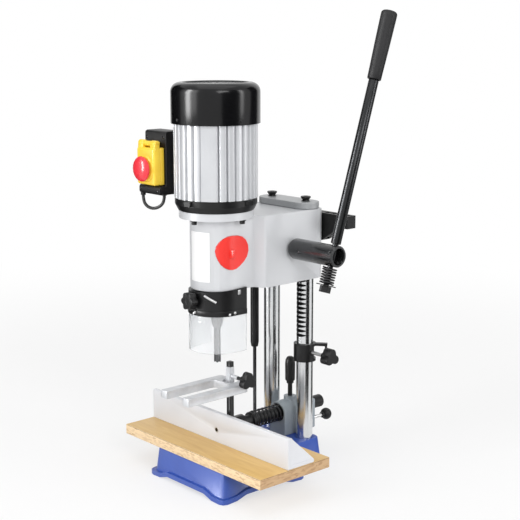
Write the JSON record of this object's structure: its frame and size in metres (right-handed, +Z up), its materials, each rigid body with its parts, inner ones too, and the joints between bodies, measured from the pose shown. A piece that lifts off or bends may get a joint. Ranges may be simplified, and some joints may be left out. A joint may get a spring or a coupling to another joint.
{
  "type": "benchtop mortiser",
  "caption": "Benchtop hollow chisel mortiser: motor head on twin columns with rack lever, chisel in a clear guard, sliding fence and hold-down on a board and cast base.",
  "frame": {"origin": "middle of the outline's footprint, on the bench that the feet stand on", "axes": "+Z up along the columns, -Y towards the user, in front of the fence, +X to the lever's side"},
  "size_m": [0.35, 0.352, 0.7682],
  "materials": {
    "blue_paint": "blue gloss enamel on a casting",
    "grey_paint": "pale grey satin enamel",
    "fence_paint": "pale grey enamel on a casting",
    "laminate": "ochre laminate on pale board",
    "hard_chrome": "ground and polished bar",
    "blackened_steel": "blackened or black painted steel",
    "grey_casting": "grey painted casting",
    "black_plastic": "black moulded plastic",
    "bearing_bronze": "plain bronze bush",
    "silver_aluminium": "silver painted or cast aluminium",
    "copper_winding": "laminated steel with copper windings",
    "cap_gloss": "gloss black enamel on pressed sheet",
    "bright_steel": "ground steel",
    "clear_guard": "clear plastic sheet",
    "yellow_plastic": "yellow moulded plastic",
    "green_plastic": "green moulded plastic",
    "red_plastic": "red moulded plastic",
    "lead_rubber": "black rubber sheath"
  },
  "bodies": {
    "base": {"base_casting": "blue_paint", "work_table": "laminate", "column_left": "hard_chrome", "column_right": "hard_chrome", "column_tie_plate": "grey_paint", "tie_bolt_left": "blackened_steel", "tie_bolt_right": "blackened_steel", "fence_bracket": "grey_casting", "bracket_keeper": "blackened_steel", "strut_rod": "hard_chrome"},
    "head": {"head_casting": "grey_paint", "column_bush_left": "bearing_bronze", "column_bush_right": "bearing_bronze", "motor_flange": "blackened_steel", "motor_body": "silver_aluminium", "stator": "copper_winding", "bearing_lower": "bright_steel", "bearing_upper": "bright_steel", "bearing_carrier": "silver_aluminium", "motor_cap": "cap_gloss", "chisel_holder": "blackened_steel", "chuck_guard": "clear_guard", "mortising_chisel": "bright_steel", "tool_holder": "black_plastic", "strut_cylinder": "blackened_steel", "switch_box": "black_plastic", "switch_bracket": "blackened_steel", "switch_frame": "yellow_plastic", "motor_lead": "lead_rubber"},
    "spindle": {"rotor_shaft": "bright_steel", "rotor": "bright_steel", "cooling_fan": "black_plastic", "drill_chuck": "bright_steel", "auger_bit": "bright_steel"},
    "lever_hub": {"pinion_shaft": "bright_steel", "pinion": "bright_steel", "lever_hub": "blackened_steel", "lever_spring": "blackened_steel"},
    "lever_bar": {"lever_rod": "blackened_steel", "lever_grip": "black_plastic", "lever_washer": "blackened_steel", "lever_nut": "blackened_steel"},
    "clamp_screw": {"chisel_clamp_screw": "black_plastic"},
    "door": {"access_door": "red_plastic"},
    "lid": {"switch_lid": "yellow_plastic"},
    "stop": {"stop_knob": "red_plastic"},
    "on": {"on_button": "green_plastic"},
    "off": {"off_button": "red_plastic"},
    "fence": {"fence": "fence_paint", "fence_shaft": "hard_chrome", "shaft_cap": "black_plastic", "fence_spring": "blackened_steel", "hold_down_post": "blackened_steel"},
    "fork": {"hold_down_fork": "silver_aluminium"},
    "fork_screw": {"hold_down_screw": "black_plastic"},
    "depth_collar": {"depth_stop_collar": "blackened_steel"},
    "depth_screw": {"depth_stop_screw": "black_plastic"},
    "lock_handle": {"fence_lock_handle": "black_plastic"},
    "keeper": {"keeper_screw": "black_plastic"}
  },
  "joints": [
    {"name": "head_slide", "type": "slide", "parent": "base", "child": "head", "axis": [0, 0, 1], "range_m": [-0.037, 0], "stiffness_N_per_m": 400, "springref_m": 1},
    {"name": "lever_turn", "type": "hinge", "parent": "head", "child": "lever_hub", "pos_m": [0.155, 0.0232, 0.3875], "axis": [1, 0, 0], "range_deg": [0, 57]},
    {"name": "lever_pull", "type": "slide", "parent": "lever_hub", "child": "lever_bar", "axis": [0, 0.3057, 0.9521], "range_m": [0, 0.01], "stiffness_N_per_m": 800, "springref_m": -0.006, "deforming": ["lever_spring"]},
    {"name": "spindle_turn", "type": "hinge", "parent": "head", "child": "spindle", "pos_m": [0, -0.086, 0.3385], "axis": [0, 0, 1], "continuous": true},
    {"name": "clamp_screw_turn", "type": "hinge", "parent": "head", "child": "clamp_screw", "pos_m": [0, -0.149, 0.313], "axis": [0, -1, 0], "range_deg": [0, 360]},
    {"name": "door_pull", "type": "slide", "parent": "head", "child": "door", "axis": [1, 0, 0], "range_m": [0, 0.015]},
    {"name": "lid_turn", "type": "hinge", "parent": "head", "child": "lid", "pos_m": [-0.104, -0.1403, 0.557], "axis": [-1, 0, 0], "range_deg": [0, 95]},
    {"name": "stop_push", "type": "slide", "parent": "lid", "child": "stop", "axis": [0, 1, 0], "range_m": [0, 0.004], "stiffness_N_per_m": 300, "springref_m": -0.003},
    {"name": "on_push", "type": "slide", "parent": "head", "child": "on", "axis": [0, 1, 0], "range_m": [0, 0.0025], "stiffness_N_per_m": 200, "springref_m": -0.002},
    {"name": "off_push", "type": "slide", "parent": "head", "child": "off", "axis": [0, 1, 0], "range_m": [0, 0.0025], "stiffness_N_per_m": 200, "springref_m": -0.002},
    {"name": "fence_slide", "type": "slide", "parent": "base", "child": "fence", "axis": [0, 1, 0], "range_m": [0, 0.035], "stiffness_N_per_m": 300, "springref_m": -0.03, "deforming": ["fence_spring"]},
    {"name": "fork_slide", "type": "slide", "parent": "fence", "child": "fork", "axis": [0, 0, 1], "range_m": [-0.03, 0]},
    {"name": "fork_screw_turn", "type": "hinge", "parent": "fork", "child": "fork_screw", "pos_m": [0.0382, -0.059, 0.1735], "axis": [1, 0, 0], "range_deg": [0, 360]},
    {"name": "depth_stop_slide", "type": "slide", "parent": "base", "child": "depth_collar", "axis": [0, 0, 1], "range_m": [-0.1, 0.07]},
    {"name": "depth_screw_turn", "type": "hinge", "parent": "depth_collar", "child": "depth_screw", "pos_m": [0.0815, 0.0725, 0.201], "axis": [1, 0, 0], "range_deg": [0, 360]},
    {"name": "lock_turn", "type": "hinge", "parent": "base", "child": "lock_handle", "pos_m": [0, 0.0775, 0.136], "axis": [0, 0, 1], "range_deg": [-90, 90]},
    {"name": "keeper_turn", "type": "hinge", "parent": "base", "child": "keeper", "pos_m": [0, 0.159, 0.0575], "axis": [0, 1, 0], "range_deg": [0, 360]}
  ],
  "couplings": [
    {"joint": "lever_turn", "follows": "head_slide", "rad_per_m": -26.667}
  ]
}
